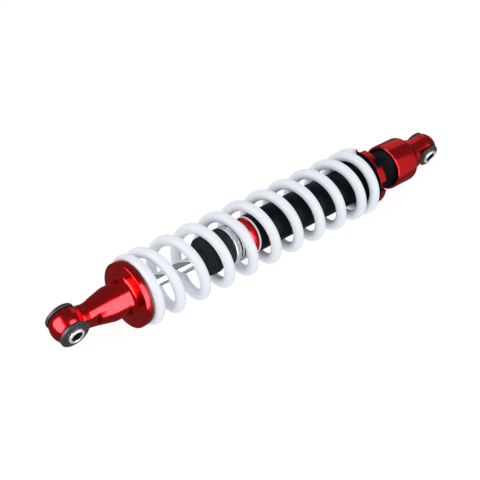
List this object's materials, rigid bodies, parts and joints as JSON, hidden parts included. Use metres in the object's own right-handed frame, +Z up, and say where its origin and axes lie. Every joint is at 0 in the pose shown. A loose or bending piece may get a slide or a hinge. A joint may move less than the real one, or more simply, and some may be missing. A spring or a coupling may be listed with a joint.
{
  "type": "coil-over rear shock absorber",
  "caption": "Coil-over motorcycle rear shock: sliding rod with eye and spring flange, oil damper tube, coil spring, threaded preload collar and upper eye cap.",
  "frame": {"origin": "centre of the upper eye's bolt sleeve, on the axis of the shock", "axes": "+X along the shock from the lower eye to the upper eye, +Y along both eye bolts, +Z up with the shock lying level"},
  "size_m": [0.3856, 0.0549, 0.0552],
  "materials": {
    "red_anodised": "bright red anodised, gloss",
    "black_anodised": "black anodised, gloss",
    "white_powder": "white powder coat, gloss",
    "rubber_black": "matt black rubber",
    "washer_black": "black nylon",
    "bump_charcoal": "charcoal micro-cellular rubber",
    "sleeve_steel": "bright zinc plated",
    "rod_chrome": "hard chrome, mirror",
    "gland_aluminium": "turned, clear anodised",
    "guide_bronze": "sintered bronze",
    "seal_rubber": "nitrile rubber"
  },
  "bodies": {
    "damper": {"upper_eye_cap": "red_anodised", "upper_bush_near": "rubber_black", "upper_bush_far": "rubber_black", "gas_fill_screw": "sleeve_steel", "cap_o_ring": "seal_rubber", "damper_tube": "black_anodised", "seal_head": "red_anodised", "head_o_ring": "seal_rubber", "rod_guide_bush": "guide_bronze", "rod_seal": "seal_rubber", "gland_cap": "gland_aluminium", "rod_wiper": "seal_rubber", "bump_washer": "sleeve_steel", "bump_stop": "bump_charcoal", "main_spring": "white_powder"},
    "upper_bolt_sleeve": {"upper_sleeve": "sleeve_steel"},
    "floating_piston_body": {"floating_piston": "gland_aluminium", "floating_piston_o_ring": "seal_rubber"},
    "rod": {"piston_rod": "rod_chrome", "top_out_bumper": "seal_rubber", "rebound_shims": "sleeve_steel", "piston": "gland_aluminium", "piston_band": "washer_black", "compression_shims": "sleeve_steel", "piston_nut": "sleeve_steel", "rod_lock_nut": "sleeve_steel", "lower_eye": "red_anodised", "lower_spring_washer": "washer_black", "lower_bush_near": "rubber_black", "lower_bush_far": "rubber_black"},
    "lower_bolt_sleeve": {"lower_sleeve": "sleeve_steel"},
    "spring_seat": {"spring_seat_ring": "black_anodised"},
    "collar": {"preload_collar": "red_anodised"}
  },
  "joints": [
    {"name": "rod_slide", "type": "slide", "parent": "damper", "child": "rod", "axis": [1, 0, 0], "range_m": [0, 0.056], "stiffness_N_per_m": 41000, "springref_m": -0.005, "deforming": ["main_spring"]},
    {"name": "floating_piston_slide", "type": "slide", "parent": "damper", "child": "floating_piston_body", "axis": [1, 0, 0], "range_m": [0, 0.0084]},
    {"name": "preload_slide", "type": "slide", "parent": "damper", "child": "spring_seat", "axis": [1, 0, 0], "range_m": [-0.01, 0.0045], "deforming": ["main_spring"]},
    {"name": "preload_turn", "type": "hinge", "parent": "spring_seat", "child": "collar", "pos_m": [-0.07, 0, 0], "axis": [1, 0, 0], "range_deg": [-2410, 1090]},
    {"name": "upper_sleeve_turn", "type": "hinge", "parent": "damper", "child": "upper_bolt_sleeve", "pos_m": [0, 0, 0], "axis": [0, 1, 0], "range_deg": [-25, 25]},
    {"name": "lower_sleeve_turn", "type": "hinge", "parent": "rod", "child": "lower_bolt_sleeve", "pos_m": [-0.36, 0, 0], "axis": [0, 1, 0], "range_deg": [-25, 25]}
  ],
  "couplings": [
    {"joint": "floating_piston_slide", "follows": "rod_slide", "ratio": 0.14793},
    {"joint": "preload_turn", "follows": "preload_slide", "rad_per_m": 4188.8}
  ]
}
